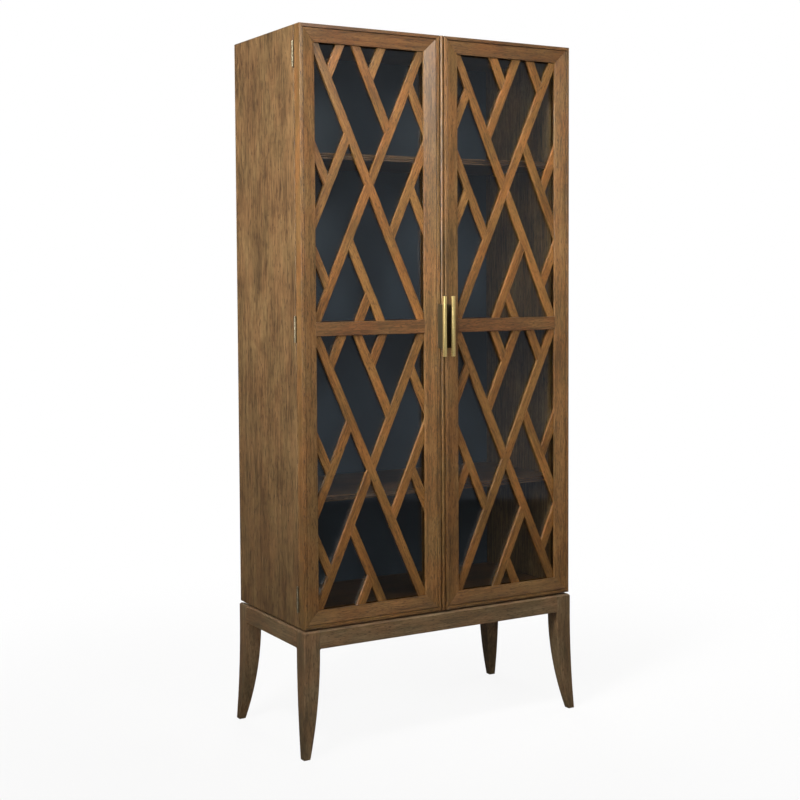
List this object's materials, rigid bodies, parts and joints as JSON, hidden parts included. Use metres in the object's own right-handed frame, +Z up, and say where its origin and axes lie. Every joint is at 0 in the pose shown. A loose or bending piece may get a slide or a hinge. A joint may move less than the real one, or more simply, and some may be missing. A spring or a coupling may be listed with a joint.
{
  "type": "display cabinet",
  "caption": "Tall book cabinet with two fretwork glass doors, wooden shelves and a separate base on curved sabre legs.",
  "frame": {"origin": "bottom centre of the closed cabinet's box, on the floor", "axes": "+Z up, -Y towards the front with the doors, +X to the right as seen from the front"},
  "size_m": [0.991, 0.51, 2.148],
  "materials": {
    "case_veneer": "satin lacquer on stained veneer",
    "frame_walnut": "satin lacquer on stained solid wood",
    "fret_walnut": "satin lacquer on stained solid wood",
    "shelf_walnut": "satin lacquer on stained wood",
    "base_walnut": "satin lacquer on stained solid wood",
    "hidden_timber": "stained, unpolished",
    "back_paint": "matt charcoal paint on board",
    "clear_glass": "clear polished",
    "satin_brass": "satin",
    "dark_bronze": "dark patina",
    "plain_steel": "zinc plated",
    "brown_plastic": "moulded, matt"
  },
  "bodies": {
    "case": {"side_panel_left": "case_veneer", "side_panel_right": "case_veneer", "top_panel": "case_veneer", "bottom_panel": "case_veneer", "back_panel": "back_paint", "shelf_lower": "shelf_walnut", "shelf_middle": "shelf_walnut", "shelf_upper": "shelf_walnut", "shelf_pins": "satin_brass", "catches": "brown_plastic", "case_hinge_leaves": "satin_brass", "case_hinge_screws": "satin_brass", "hinge_pins": "satin_brass", "leg_front_left": "base_walnut", "leg_front_right": "base_walnut", "leg_rear_left": "base_walnut", "leg_rear_right": "base_walnut", "apron_front": "base_walnut", "apron_rear": "base_walnut", "apron_left": "base_walnut", "apron_right": "base_walnut", "deck": "hidden_timber", "corner_blocks": "hidden_timber", "case_bolts": "plain_steel"},
    "left_door": {"left_hinge_stile": "frame_walnut", "left_meeting_stile": "frame_walnut", "left_top_rail": "frame_walnut", "left_bottom_rail": "frame_walnut", "left_mid_rail": "frame_walnut", "left_upper_fret_falling": "fret_walnut", "left_upper_fret_rising": "fret_walnut", "left_lower_fret_falling": "fret_walnut", "left_lower_fret_rising": "fret_walnut", "left_glass_panes": "clear_glass", "left_glass_beads": "frame_walnut", "left_pull_grip": "satin_brass", "left_pull_web": "dark_bronze", "left_pull_screws": "plain_steel", "left_catch_plate": "plain_steel", "left_hinge_leaves": "satin_brass", "left_hinge_screws": "satin_brass"},
    "right_door": {"right_hinge_stile": "frame_walnut", "right_meeting_stile": "frame_walnut", "right_top_rail": "frame_walnut", "right_bottom_rail": "frame_walnut", "right_mid_rail": "frame_walnut", "right_upper_fret_falling": "fret_walnut", "right_upper_fret_rising": "fret_walnut", "right_lower_fret_falling": "fret_walnut", "right_lower_fret_rising": "fret_walnut", "right_glass_panes": "clear_glass", "right_glass_beads": "frame_walnut", "right_pull_grip": "satin_brass", "right_pull_web": "dark_bronze", "right_pull_screws": "plain_steel", "right_catch_plate": "plain_steel", "right_hinge_leaves": "satin_brass", "right_hinge_screws": "satin_brass", "meeting_strip": "frame_walnut"}
  },
  "joints": [
    {"name": "left_door_hinge", "type": "hinge", "parent": "case", "child": "left_door", "pos_m": [-0.4863, -0.1785, 1.266], "axis": [0, 0, -1], "range_deg": [0, 180]},
    {"name": "right_door_hinge", "type": "hinge", "parent": "case", "child": "right_door", "pos_m": [0.4863, -0.1785, 1.266], "axis": [0, 0, 1], "range_deg": [0, 180]}
  ]
}
